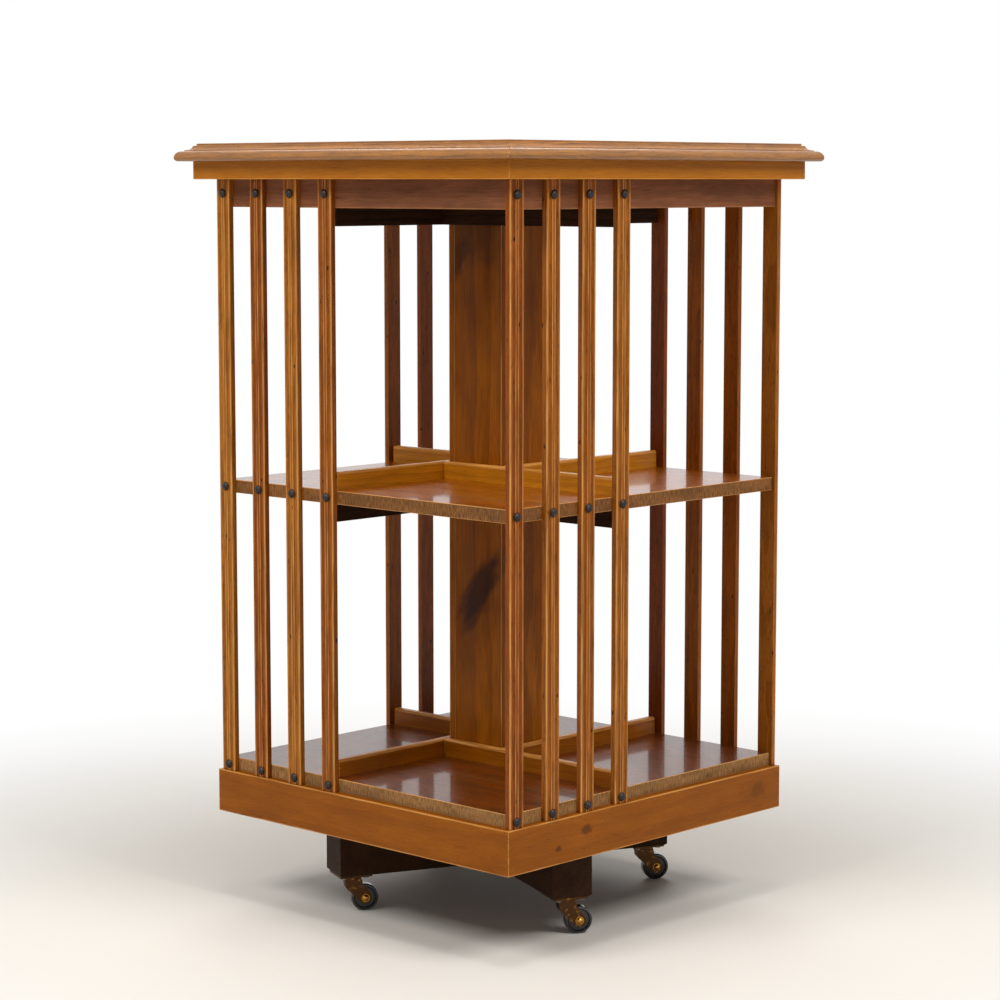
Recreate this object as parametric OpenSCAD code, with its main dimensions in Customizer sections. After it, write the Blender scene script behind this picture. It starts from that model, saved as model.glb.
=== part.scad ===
// Two-tier revolving bookcase on a castored cross base, in millimetres.
// The origin is on the floor at the turning axis, +Z is up and the front face looks along -Y.
// Every face of the case is the front face turned by a quarter: slats, rails and battens
// make a pinwheel round the hollow column, so each tier holds four book bays.

/* [Case] */
// Width of the square plinth over its faces
plinth_w = 460; // [440:1:560]
// Height of the plinth boards
plinth_h = 49; // [42:1:80]
// Thickness of the plinth boards
plinth_t = 18; // [12:0.5:22]
// Ledge left round the shelf on top of the plinth
ledge_w = 9; // [8:0.5:14]
// Thickness of each shelf
shelf_t = 15; // [10:0.5:22]
// Clear height of the lower bays
lower_bay_h = 307; // [220:1:380]
// Clear height of the upper bays
upper_bay_h = 309; // [220:1:380]

/* [Top] */
// Height of the frieze that shows below the fascia
frieze_h = 31; // [24:1:50]
// Thickness of the frieze boards
frieze_t = 12; // [10:0.5:20]
// Height of the fascia boards
fascia_h = 20; // [12:0.5:32]
// How far the fascia stands out from the frieze
fascia_over = 24; // [18:0.5:36]
// Thickness of the top board and its moulding
top_t = 20; // [18:0.5:26]
// How far the moulding's nose stands out from the fascia
nose_over = 15.5; // [14:0.5:24]
// Width of the moulding, back to nose
moulding_w = 28.5; // [26:0.5:36]

/* [Slats] */
// Slats on each face
slat_count = 4; // [3:1:4]
// Width of a slat
slat_w = 20.5; // [16:0.5:28]
// Thickness of a slat
slat_t = 7; // [6:0.5:10]
// How far the outermost slat's edge stands past the shelf's corner
corner_over = 4; // [0:0.5:6]
// How far the innermost slat's centre stands past its rail's centre
inner_offset = 1.6; // [-4:0.2:12]
// Radius of the two flutes in a slat's face
flute_r = 3; // [2:0.25:3.5]
// Depth of the flutes
flute_depth = 1.8; // [0.8:0.1:2]
// Diameter of a stud's domed head
stud_d = 10; // [7:0.5:13]
// Height of a stud's domed head
stud_h = 3.2; // [2:0.2:5]

/* [Column and rails] */
// Width of the square column
column_w = 82; // [70:1:110]
// Thickness of the column boards
column_t = 8; // [6:0.5:12]
// Height of the rails and battens
rail_h = 20; // [14:1:30]
// Thickness of the rails and battens
rail_t = 10; // [8:0.5:14]
// Gap between the end of a rail and the shelf's edge
rail_end_gap = 4; // [0:0.5:10]

/* [Turning gear] */
// Diameter of the central post
post_d = 24; // [18:1:32]
// Diameter of the spigot at the head of the post
spigot_d = 16; // [10:1:17]
// Length of the spigot inside its cup
spigot_len = 25; // [15:1:40]
// Radial clearance of each running fit
run_fit = 0.06; // [0.02:0.01:0.1]

/* [Cross base] */
// Gap between the turning skirt and the nearest corner of a beam
skirt_gap = 5.7; // [3:0.1:20]
// Width of each cross beam
beam_w = 47; // [42:1:60]
// Height of each cross beam
beam_h = 70; // [50:1:74]
// How far the beams hang below the plinth
beam_drop = 57.6; // [40:0.2:66]
// Angle of the first beam from the case's X axis at rest
base_angle = 66.24; // [0:0.01:90]

/* [Castors] */
// Wheel diameter
wheel_d = 31; // [25:0.5:50]
// Wheel width at the rim
wheel_w = 12; // [8:0.5:16]
// Distance of each king pin from the end of its beam
castor_inset = 21; // [20:0.5:40]
// Distance from the king pin back to the axle
trail = 15; // [11:0.5:20]
// Direction in which the castors trail at rest
trail_angle = 56; // [0:1:359]

/* [Hidden] */
$fn = 64;
SIDES = ["front", "right", "back", "left"];
QUARTERS = [1, 2, 3, 4];

// Castor, from the floor up
wheel_r = wheel_d / 2;
axle_r = 2.5;
rivet_room = 4.2;
rivet_r = 5.4;
rivet_t = 1.8;
swivel_gap = 0.2;
crown_t = 3;
crown_r = 11.5;
race_t = 1.5;
castor_plate_w = 38;
castor_plate_t = 2.5;
king_pin_r = 4;
rivet_z = wheel_d + rivet_room;
crown_z = rivet_z + rivet_t + swivel_gap;
race_z = crown_z + crown_t + swivel_gap;
castor_plate_z = race_z + race_t;
castor_h = castor_plate_z + castor_plate_t;
cheek_t = 2;
wheel_side_gap = 0.4;
hub_w = wheel_w + 1.2;
cheek_gap = hub_w + 2 * wheel_side_gap;
boss_r = 7;
horn_front = 9;
horn_back = 10;
lead_knee = [-7.3, crown_z - 9.2];
back_knee = [12.3, crown_z - 5.2];
web_t = 2;
web_clear = 1;
cap_r = 3.9;
cap_h = 2.6;
axle_washer_r = 4.8;
axle_washer_t = 0.8;

// Case, from the plinth up
plinth_z = castor_h + beam_drop;
lower_shelf_z = plinth_z + plinth_h;
lower_floor_z = lower_shelf_z + shelf_t;
mid_shelf_z = lower_floor_z + lower_bay_h;
upper_floor_z = mid_shelf_z + shelf_t;
ceiling_z = upper_floor_z + upper_bay_h;
fascia_z = ceiling_z + frieze_h;
top_z = fascia_z + fascia_h;
plinth_half = plinth_w / 2;
shelf_half = plinth_half - ledge_w;
fascia_half = shelf_half + fascia_over;
nose_half = fascia_half + nose_over;
top_board_half = nose_half - moulding_w;
edge_chamfer = 1;

// Slats and studs
slat_len = fascia_z - lower_shelf_z;
slat_first = shelf_half + corner_over - slat_w / 2;
slat_last = column_w / 2 + rail_t / 2 + inner_offset;
slat_pitch = (slat_first - slat_last) / (slat_count - 1);
slat_chamfer = 0.8;
flute_at = slat_w / 4;
nail_r = 1.25;
nail_fit = 0.05;
nail_bite = 9;
STUD_Z = [lower_shelf_z + shelf_t / 2, mid_shelf_z + shelf_t / 2, ceiling_z + frieze_h / 2];

// Column and rails
column_half = column_w / 2;
column_inner = column_w - 2 * column_t;
rail_round = 3;
joint_fit = 0.1;

// Turning gear
beam_top = castor_h + beam_h;
lap_z = castor_h + beam_h / 2;
post_r = post_d / 2;
spigot_r = spigot_d / 2;
block_h = 42;
cup_wall = 5;
cup_roof = 5;
cup_z = ceiling_z - block_h;
spigot_top = cup_z + spigot_len;
shoulder_z = cup_z - 3;
bush_wall = 5;
bush_flange_w = 5;
bush_flange_t = 2.5;
bush_r = post_r + run_fit + bush_wall;
flange_r = 55;
flange_t = 6;
collar_wall = 7;
collar_clear = 6;
collar_top = lower_shelf_z - bush_flange_t - collar_clear;

// Cross beams, as long as the skirt lets them be
beam_reach = plinth_half - plinth_t - skirt_gap;
beam_len = 2 * sqrt(pow(beam_reach, 2) - pow(beam_w / 2, 2));
castor_r = beam_len / 2 - castor_inset;

// Screws of the base
screw_r = 2;
screw_len = 22;
screw_head_r = 3.4;
screw_head_t = 1.6;
flange_screw_at = 19.5;
plate_screw_at = 13.5;
beam_chamfer = 2;

// ---------- shared shapes ----------

// Points along an arc round c, with radii r = [horizontal, vertical]
function arc(c, r, from, to, steps = 8) =
    [for (i = [0:steps])
        let (a = from + (to - from) * i / steps)
        [c[0] + r[0] * cos(a), c[1] + r[1] * sin(a)]];

// Point where a line from p touches a circle, on the side given by s = 1 or -1
function tangent_point(p, c, r, s) =
    let (d = c - p, run = sqrt(d * d - r * r), a = atan2(d[1], d[0]) + s * asin(r / norm(d)))
    p + run * [cos(a), sin(a)];

module at_side(i) rotate([0, 0, 90 * i]) children();

// Runs a profile of (outward, upward) points along one face of the case
module side_run(i, length)
    at_side(i) rotate([90, 0, -90]) linear_extrude(length, center = true) children();

// The same run, cut at the corners on the mitre
module mitred_run(i, half)
    intersection() {
        side_run(i, 2 * half) children();
        at_side(i) linear_extrude(top_z + top_t)
            polygon([[0, 0], [-half, -half], [half, -half]]);
    }

module dome(r, h) {
    ball = (r * r + h * h) / (2 * h);
    intersection() {
        translate([0, 0, h - ball]) sphere(r = ball);
        cylinder(r = r, h = h);
    }
}

module at_slat(i, n)
    at_side(i) translate([-slat_first + (n - 1) * slat_pitch, -shelf_half, 0]) children();

// Every stud at the given height, its axis pointing out of the face
module at_studs(z)
    for (i = [0:3], n = [1:slat_count])
        at_slat(i, n) translate([0, 0, z]) rotate([90, 0, 0]) children();

module nail_holes(z)
    at_studs(z) translate([0, 0, -nail_bite - nail_fit])
        cylinder(r = nail_r + nail_fit, h = nail_bite + slat_t + 2);

// Four bars in a pinwheel against the column, from the column to the shelf's edge
module pinwheel(z)
    for (i = [0:3])
        at_side(i) translate([0, 0, z]) rotate([90, 0, 90])
            translate([0, 0, rail_end_gap - shelf_half])
            linear_extrude(column_half + shelf_half - rail_end_gap) children();

// ---------- top ----------

module moulding_profile() {
    flat_top = nose_half - 18.5;
    cove_out = nose_half - 8.5;
    cove_top = top_t - 2.5;
    cove_drop = 5;
    nose_low = 4;
    bead_top = cove_top - cove_drop - 1;
    polygon(concat(
        [[top_board_half, 0]],
        arc([nose_half - nose_low, nose_low], [nose_low, nose_low], -90, 0),
        arc([nose_half - 7, nose_low], [7, bead_top - nose_low], 0, 90),
        [[cove_out, bead_top]],
        arc([cove_out, cove_top], [7, cove_drop], -90, -180),
        [[flat_top, cove_top], [flat_top, top_t], [top_board_half, top_t]]
    ));
}

module top_board()
    color("peru")
        translate([-top_board_half, -top_board_half, top_z])
            cube([2 * top_board_half, 2 * top_board_half, top_t]);

module top_moulding(i)
    color("burlywood")
        mitred_run(i, nose_half) translate([0, top_z]) moulding_profile();

module fascia_boards()
    color("peru")
        for (i = [0:3])
            mitred_run(i, fascia_half)
                translate([shelf_half, fascia_z]) square([fascia_over, fascia_h]);

module frieze_boards()
    color("saddlebrown")
        for (i = [0:3])
            difference() {
                mitred_run(i, shelf_half)
                    translate([shelf_half - frieze_t, ceiling_z])
                        square([frieze_t, frieze_h + fascia_h]);
                nail_holes(STUD_Z[2]);
            }

module top_shelf()
    color("saddlebrown") {
        half = shelf_half - frieze_t;
        translate([-half, -half, ceiling_z]) cube([2 * half, 2 * half, shelf_t]);
    }

// ---------- column, shelves, rails and battens ----------

module column_board(i)
    color("chocolate")
        at_side(i)
            translate([column_t - column_half, -column_half, lower_floor_z])
                cube([column_w - column_t, column_t, ceiling_z - lower_floor_z]);

module shelf_board(z)
    translate([-shelf_half, -shelf_half, z])
        cube([2 * shelf_half, 2 * shelf_half, shelf_t]);

module mid_shelf()
    color("chocolate")
        difference() {
            shelf_board(mid_shelf_z);
            translate([0, 0, mid_shelf_z + shelf_t / 2])
                cube([column_w + 2 * joint_fit, column_w + 2 * joint_fit, shelf_t + 2], center = true);
            nail_holes(STUD_Z[1]);
        }

module lower_shelf()
    color("chocolate")
        difference() {
            shelf_board(lower_shelf_z);
            translate([0, 0, lower_shelf_z - 1]) cylinder(r = bush_r, h = shelf_t + 2);
            nail_holes(STUD_Z[0]);
        }

module rail_profile()
    translate([column_half, 0])
        polygon(concat(
            [[0, 0], [rail_t, 0]],
            arc([rail_t - rail_round, rail_h - rail_round], [rail_round, rail_round], 0, 90, 4),
            arc([rail_round, rail_h - rail_round], [rail_round, rail_round], 90, 180, 4)
        ));

module batten_profile() translate([column_half, 0]) square([rail_t, rail_h]);

module upper_book_rails() color("goldenrod") pinwheel(upper_floor_z) rail_profile();
module lower_book_rails() color("goldenrod") pinwheel(lower_floor_z) rail_profile();
module top_battens() color("maroon") pinwheel(ceiling_z - rail_h) batten_profile();
module mid_battens() color("maroon") pinwheel(mid_shelf_z - rail_h) batten_profile();

// ---------- plinth ----------

module plinth_board(i)
    color("peru")
        mitred_run(i, plinth_half)
            translate([plinth_half - plinth_t, plinth_z])
                polygon([
                    [0, 0], [plinth_t - edge_chamfer, 0], [plinth_t, edge_chamfer],
                    [plinth_t, plinth_h - edge_chamfer], [plinth_t - edge_chamfer, plinth_h],
                    [0, plinth_h]
                ]);

// ---------- slats ----------

// Plan of a slat: flat back on the shelf, two flutes in the face
module slat_profile() {
    half = slat_w / 2;
    difference() {
        polygon([
            [-half, 0], [half, 0], [half, slat_chamfer - slat_t],
            [half - slat_chamfer, -slat_t], [slat_chamfer - half, -slat_t],
            [-half, slat_chamfer - slat_t]
        ]);
        for (x = [-flute_at, flute_at])
            translate([x, flute_depth - flute_r - slat_t]) circle(r = flute_r);
    }
}

module slat(i, n)
    color("sandybrown")
        difference() {
            at_slat(i, n) translate([0, 0, lower_shelf_z]) linear_extrude(slat_len) slat_profile();
            at_slat(i, n)
                for (z = STUD_Z)
                    translate([0, 1, z]) rotate([90, 0, 0])
                        cylinder(r = nail_r + nail_fit, h = slat_t + 2);
        }

module slat_studs()
    color("dimgray")
        for (z = STUD_Z)
            at_studs(z) {
                translate([0, 0, slat_t]) dome(stud_d / 2, stud_h);
                translate([0, 0, -nail_bite]) cylinder(r = nail_r, h = nail_bite + slat_t + 1);
            }

// ---------- turning gear ----------

module bearing_block()
    color("tan")
        difference() {
            translate([-column_inner / 2, -column_inner / 2, cup_z])
                cube([column_inner, column_inner, block_h]);
            translate([0, 0, cup_z - 1])
                cylinder(r = spigot_r + run_fit + cup_wall, h = 1 + spigot_len + swivel_gap + cup_roof);
        }

module pivot_cup()
    color("gold")
        difference() {
            translate([0, 0, cup_z])
                cylinder(r = spigot_r + run_fit + cup_wall, h = spigot_len + swivel_gap + cup_roof);
            translate([0, 0, cup_z - 1])
                cylinder(r = spigot_r + run_fit, h = 1 + spigot_len + swivel_gap);
        }

module lower_bush()
    color("gold")
        difference() {
            union() {
                translate([0, 0, lower_shelf_z]) cylinder(r = bush_r, h = shelf_t);
                translate([0, 0, lower_shelf_z - bush_flange_t])
                    cylinder(r = bush_r + bush_flange_w, h = bush_flange_t);
            }
            translate([0, 0, lower_shelf_z - bush_flange_t - 1])
                cylinder(r = post_r + run_fit, h = shelf_t + bush_flange_t + 2);
        }

module pivot_post()
    color("lightsteelblue") {
        translate([0, 0, lap_z]) cylinder(r = post_r, h = shoulder_z - lap_z);
        translate([0, 0, shoulder_z]) cylinder(r = spigot_r, h = spigot_top - shoulder_z);
    }

module post_flange()
    color("slategray")
        difference() {
            union() {
                translate([0, 0, beam_top]) cylinder(r = flange_r, h = flange_t);
                translate([0, 0, beam_top]) cylinder(r = post_r + collar_wall, h = collar_top - beam_top);
            }
            translate([0, 0, beam_top - 1]) cylinder(r = post_r, h = collar_top - beam_top + 2);
            at_flange_screws(beam_top - 1) cylinder(r = screw_r, h = flange_t + 2);
        }

// ---------- cross base ----------

module at_flange_screws(z)
    rotate([0, 0, base_angle])
        for (a = [0:90:270])
            rotate([0, 0, a]) translate([2 * flange_screw_at, 0, z]) children();

module at_king_pin(q)
    rotate([0, 0, base_angle + 90 * (q - 1)]) translate([castor_r, 0, 0]) children();

module at_plate_screws(z)
    for (q = QUARTERS)
        at_king_pin(q)
            for (x = [-plate_screw_at, plate_screw_at], y = [-plate_screw_at, plate_screw_at])
                translate([x, y, z]) children();

// A beam along X with its long lower edges and ends eased
module beam_blank()
    difference() {
        translate([-beam_len / 2, -beam_w / 2, castor_h]) cube([beam_len, beam_w, beam_h]);
        for (a = [0, 180])
            rotate([0, 0, a]) {
                translate([beam_len / 2, 0, castor_h]) rotate([0, 45, 0])
                    cube([beam_chamfer * sqrt(2), beam_w + 2, beam_chamfer * sqrt(2)], center = true);
                translate([0, beam_w / 2, castor_h]) rotate([45, 0, 0])
                    cube([beam_len + 2, beam_chamfer * sqrt(2), beam_chamfer * sqrt(2)], center = true);
            }
    }

module beam_holes() {
    translate([0, 0, lap_z]) cylinder(r = post_r, h = beam_h);
    at_plate_screws(castor_h - 1) cylinder(r = screw_r, h = screw_len + 1);
    at_flange_screws(beam_top - screw_len) cylinder(r = screw_r, h = screw_len + 1);
}

module lower_cross_beam()
    color([0.2, 0.12, 0.08])
        difference() {
            rotate([0, 0, base_angle]) difference() {
                beam_blank();
                translate([0, 0, lap_z + beam_h / 2])
                    cube([beam_w, beam_w + 2, beam_h], center = true);
            }
            beam_holes();
        }

module upper_cross_beam()
    color([0.2, 0.12, 0.08])
        difference() {
            rotate([0, 0, base_angle + 90]) difference() {
                beam_blank();
                translate([0, 0, lap_z - beam_h / 2])
                    cube([beam_w, beam_w + 2, beam_h], center = true);
            }
            beam_holes();
        }

// A screw with its head below z = 0 and its shank up
module screw() {
    translate([0, 0, -screw_head_t]) cylinder(r = screw_head_r, h = screw_head_t);
    cylinder(r = screw_r, h = screw_len);
}

module base_screws()
    color("silver") {
        at_plate_screws(castor_plate_z) screw();
        at_flange_screws(beam_top + flange_t) rotate([180, 0, 0]) screw();
    }

// ---------- castors ----------

module at_castor(q)
    translate(castor_r * [cos(base_angle + 90 * (q - 1)), sin(base_angle + 90 * (q - 1)), 0])
        rotate([0, 0, trail_angle]) children();

module castor_plates()
    color("darkgoldenrod")
        difference() {
            for (q = QUARTERS)
                at_king_pin(q) {
                    translate([-castor_plate_w / 2, -castor_plate_w / 2, castor_plate_z])
                        cube([castor_plate_w, castor_plate_w, castor_plate_t]);
                    translate([0, 0, race_z]) cylinder(r = crown_r, h = race_t);
                    translate([0, 0, rivet_z]) cylinder(r = king_pin_r, h = castor_plate_z - rivet_z);
                    translate([0, 0, rivet_z]) cylinder(r = rivet_r, h = rivet_t);
                }
            at_plate_screws(castor_plate_z - 1) cylinder(r = screw_r, h = castor_plate_t + 2);
        }

// Side view of a cheek: from the crown down to a round boss at the axle
module cheek_profile(axle, crown_top) {
    translate(axle) circle(r = boss_r);
    polygon([
        [-horn_front, crown_top], lead_knee, tangent_point(lead_knee, axle, boss_r, -1),
        axle, tangent_point(back_knee, axle, boss_r, 1), back_knee, [horn_back, crown_top]
    ]);
}

// Side view of the closed front of the fork, stopping short of the wheel
module web_profile(axle, crown_top) {
    touch = tangent_point(lead_knee, axle, boss_r, -1);
    along = (touch - lead_knee) / norm(touch - lead_knee);
    inward = [-along[1], along[0]];
    reach = norm(touch - lead_knee) - sqrt(pow(wheel_r + web_clear, 2) - pow(boss_r - web_t, 2));
    foot = lead_knee + reach * along;
    polygon([
        [-horn_front, crown_top], lead_knee, foot, foot + web_t * inward,
        lead_knee + [web_t, 0.5], [web_t - horn_front, crown_top]
    ]);
}

module castor_fork(q)
    color("darkgoldenrod")
        at_castor(q) {
            axle = [trail, wheel_r];
            crown_top = crown_z + crown_t;
            fork_w = cheek_gap + 2 * cheek_t;
            difference() {
                union() {
                    translate([0, 0, crown_z]) cylinder(r = crown_r, h = crown_t);
                    for (s = [-1, 1])
                        translate([0, s * (fork_w - cheek_t) / 2, 0])
                            rotate([90, 0, 0]) linear_extrude(cheek_t, center = true)
                            cheek_profile(axle, crown_top);
                    rotate([90, 0, 0]) linear_extrude(fork_w, center = true)
                        web_profile(axle, crown_top);
                }
                translate([0, 0, crown_z - 1]) cylinder(r = king_pin_r + run_fit, h = crown_t + 2);
                translate([axle[0], 0, axle[1]]) rotate([90, 0, 0])
                    cylinder(r = axle_r, h = fork_w + 2, center = true);
            }
        }

module castor_axle(q)
    color("gold")
        at_castor(q) translate([trail, 0, wheel_r]) {
            half = cheek_gap / 2 + cheek_t;
            rotate([90, 0, 0]) cylinder(r = axle_r, h = 2 * half, center = true);
            for (s = [-1, 1])
                rotate([-90 * s, 0, 0]) translate([0, 0, half]) {
                    cylinder(r = axle_washer_r, h = axle_washer_t);
                    translate([0, 0, axle_washer_t]) dome(cap_r, cap_h);
                }
        }

module castor_wheel(q)
    color([0.08, 0.08, 0.08])
        at_castor(q) translate([trail, 0, wheel_r]) rotate([90, 0, 0]) {
            rim = wheel_w / 2;
            hub = hub_w / 2;
            hub_r = 5.5;
            dish = 1.5;
            ease = 2;
            rotate_extrude() polygon(concat(
                [[axle_r + run_fit, -hub], [hub_r, -hub], [hub_r, dish - rim]],
                [[wheel_r - 4, dish - rim], [wheel_r - 3, -rim]],
                arc([wheel_r - ease, ease - rim], [ease, ease], -90, 0, 5),
                arc([wheel_r - ease, rim - ease], [ease, ease], 0, 90, 5),
                [[wheel_r - 3, rim], [wheel_r - 4, rim - dish]],
                [[hub_r, rim - dish], [hub_r, hub], [axle_r + run_fit, hub]]
            ));
        }

// ---------- assembly ----------

top_board();
for (i = [0:3]) top_moulding(i);
fascia_boards();
frieze_boards();
top_shelf();
top_battens();
mid_battens();
upper_book_rails();
lower_book_rails();
for (i = [0:3]) column_board(i);
mid_shelf();
lower_shelf();
for (i = [0:3]) plinth_board(i);
for (i = [0:3], n = [1:slat_count])
    slat(i, n);
slat_studs();
bearing_block();
pivot_cup();
lower_bush();
lower_cross_beam();
upper_cross_beam();
pivot_post();
post_flange();
base_screws();
castor_plates();
for (q = QUARTERS) castor_fork(q);
for (q = QUARTERS) castor_axle(q);
for (q = QUARTERS) castor_wheel(q);
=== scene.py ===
"""Looks of a two-tier revolving bookcase: lacquered wood, bronzed studs and brass castors.

Everything is in metres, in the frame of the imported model: the origin is on the floor at the
turning axis, +Z is up and the front face looks along -Y. Each face of the case is the front
face turned by a quarter, so the pieces are made once per side and turned.
"""

import math
import random
from typing import NamedTuple

import bpy
from mathutils import Matrix, Vector


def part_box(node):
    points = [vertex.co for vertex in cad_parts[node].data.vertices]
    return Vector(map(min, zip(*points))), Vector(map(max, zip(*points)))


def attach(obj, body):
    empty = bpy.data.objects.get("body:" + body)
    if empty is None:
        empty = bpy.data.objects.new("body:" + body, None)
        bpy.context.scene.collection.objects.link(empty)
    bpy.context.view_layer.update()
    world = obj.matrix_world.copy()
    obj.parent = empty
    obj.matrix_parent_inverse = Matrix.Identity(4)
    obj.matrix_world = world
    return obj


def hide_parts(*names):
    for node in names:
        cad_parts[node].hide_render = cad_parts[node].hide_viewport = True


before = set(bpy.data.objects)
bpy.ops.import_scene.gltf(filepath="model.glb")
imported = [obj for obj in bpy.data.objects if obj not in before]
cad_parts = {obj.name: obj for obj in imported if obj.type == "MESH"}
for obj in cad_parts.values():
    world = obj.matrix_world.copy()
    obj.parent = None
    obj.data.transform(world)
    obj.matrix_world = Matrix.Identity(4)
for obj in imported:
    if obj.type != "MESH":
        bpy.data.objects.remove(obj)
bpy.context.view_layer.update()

bl_info = {
    "name": "Revolving bookcase",
    "version": (1, 0, 0),
    "blender": (4, 5, 0),
    "location": "View3D > Sidebar > Bookcase",
    "description": "Builds the finished boards, slats, studs and castors of a revolving bookcase",
    "category": "Object",
}

MM = 0.001
SIDES = ("front", "right", "back", "left")
QUARTERS = (1, 2, 3, 4)
SLATS = (1, 2, 3, 4)
UP = Vector((0, 0, 1))


# ---------- colours and settings ----------

def linear(code):
    """An sRGB hex colour as the linear numbers that shaders use."""
    parts = [int(code[i:i + 2], 16) / 255 for i in (1, 3, 5)]
    return tuple(c / 12.92 if c <= 0.04045 else ((c + 0.055) / 1.055) ** 2.4 for c in parts)


def colour(name, code, description):
    """A colour that can be changed in the panel."""
    return bpy.props.FloatVectorProperty(
        name=name, description=description, subtype="COLOR", size=3, min=0, max=1,
        default=linear(code))


def length(name, mm, description):
    """A small length that can be changed in the panel."""
    return bpy.props.FloatProperty(
        name=name, description=description, unit="LENGTH", min=0, default=mm * MM, precision=5)


class BookcaseSizes(bpy.types.PropertyGroup):
    """Small sizes of the finished surfaces; the construction's sizes come from the frame"""
    arris: length("Arris", 0.5, "Radius of the rubbed edge of a board")
    wear_band: length("Wear band", 1.6, "How far wear reaches in from an edge")
    seam: length("Mitre seam", 0.12, "Half the open line between two mitred boards")
    flute_r: length("Flute radius", 3.0, "Radius of the two flutes in a slat")
    flute_depth: length("Flute depth", 1.8, "Depth of the two flutes in a slat")
    brad_r: length("Brad hole", 0.9, "Radius of the filled brad holes in the top moulding")
    dent: length("Stud dent", 0.12, "How uneven the hammered heads of the studs are")


class BookcaseColours(bpy.types.PropertyGroup):
    """Colours of the finishes"""
    slat_light: colour("Slat, light grain", "#b87222", "Early wood of the slats under lacquer")
    slat_dark: colour("Slat, dark grain", "#5e2c04", "Late wood of the slats under lacquer")
    slat_red: colour("Slat, red boards", "#92440a", "Tone of the redder slats")
    moulding_light: colour("Moulding, light grain", "#a86c22", "Early wood of the top moulding")
    moulding_dark: colour("Moulding, dark grain", "#643408", "Late wood of the top moulding")
    veneer_light: colour("Veneer, light figure", "#985404", "Light figure of plinth and fascia")
    veneer_dark: colour("Veneer, dark figure", "#6e3400", "Dark figure of plinth and fascia")
    fascia_light: colour("Fascia, light figure", "#b66e16", "Light figure of the fascia")
    fascia_dark: colour("Fascia, dark figure", "#8a4a0a", "Dark figure of the fascia")
    shelf_light: colour("Shelf, light figure", "#a85806", "Light figure of the shelf tops")
    shelf_dark: colour("Shelf, dark figure", "#6c3002", "Dark figure of the shelf tops")
    rail_light: colour("Rail, light grain", "#cc8216", "Light grain of the book rails")
    rail_dark: colour("Rail, dark grain", "#7c4206", "Dark grain of the book rails")
    column_light: colour("Column, light grain", "#a05a06", "Light grain of the column boards")
    column_dark: colour("Column, dark grain", "#622e02", "Dark grain of the column boards")
    frieze_light: colour("Frieze, light grain", "#8e583a", "Light grain of the dark frieze")
    frieze_dark: colour("Frieze, dark grain", "#54321e", "Dark grain of the dark frieze")
    batten_light: colour("Batten, light grain", "#3a2210", "Light grain of battens and cross base")
    batten_dark: colour("Batten, dark grain", "#180c05", "Dark grain of battens and cross base")
    # The bare wood colour also serves as painted highlight along the slat arrises.
    bare: colour("Bare wood", "#e0a258", "Wood that shows where an edge is rubbed through")
    # The knot colour also darkens the hollows: old polish and painted shade in the slat flutes, darker steps
    # and top line on the moulding.
    knot: colour("Knot", "#2a0f02", "Heart of a knot")
    edge_light: colour("Raw edge, light fibre", "#b08450", "Light fibres of the raw shelf edges")
    edge_dark: colour("Raw edge, dark fibre", "#6a4018", "Dark fibres of the raw shelf edges")
    bronze: colour("Bronzed stud", "#3a3634", "Dark bronzing of the stud heads")
    brass: colour("Brass", "#c08a3c", "Brass where it is rubbed clean")
    tarnish: colour("Tarnish", "#4d3420", "Tarnish in the hollows of the castors")
    wheel: colour("Wheel", "#0c0b0b", "Black glazed castor wheels")
    steel: colour("Steel", "#8c8a86", "Turned steel of the post")


class BookcaseStage(bpy.types.PropertyGroup):
    """Floor, camera and lamps"""
    azimuth: bpy.props.FloatProperty(
        name="Azimuth", description="Direction of the camera from the turning axis",
        subtype="ANGLE", default=math.radians(43.46))
    distance: bpy.props.FloatProperty(
        name="Distance", description="Level distance of the camera from the turning axis",
        unit="LENGTH", default=3.1706)
    height: bpy.props.FloatProperty(
        name="Height", description="Height of the camera over the floor",
        unit="LENGTH", default=0.8271)
    pitch: bpy.props.FloatProperty(
        name="Pitch", description="How far the camera looks down",
        subtype="ANGLE", default=math.radians(6.56))
    lens: bpy.props.FloatProperty(
        name="Lens", description="Focal length in millimetres on a 36 mm sensor", default=100.15)
    floor: colour("Floor", "#e2ddd4", "Plain pale floor")
    ambient: bpy.props.FloatProperty(
        name="Ambient", description="Strength of the soft light from all round", min=0, default=0.27)
    key: bpy.props.FloatProperty(
        name="Key lamps", description="Power of the two large lamps", unit="POWER", min=0, default=54)


# ---------- mesh building ----------

def rng_for(name):
    """Chance numbers that are the same on every run for a piece of this name."""
    return random.Random(name)


class Place(NamedTuple):
    """Where a run lies: its origin and the directions of its length and its outline's axes."""
    origin: Vector
    along: Vector
    out: Vector
    up: Vector

    def point(self, along, out, up):
        return self.origin + along * self.along + out * self.out + up * self.up


def quarter(side):
    return Matrix.Rotation(math.radians(90) * SIDES.index(side), 3, "Z")


def level_run(side):
    """A run along one face: length to the right as seen from outside, outline (outward, up)."""
    turn = quarter(side)
    return Place(Vector(), turn @ Vector((1, 0, 0)), turn @ Vector((0, -1, 0)), UP)


def upright_run(side, centre, out):
    """A run up one face: outline (outward, to the right) round a centre on the face."""
    turn = quarter(side)
    right, outward = turn @ Vector((1, 0, 0)), turn @ Vector((0, -1, 0))
    return Place(centre * right + out * outward, UP, outward, right)


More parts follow.
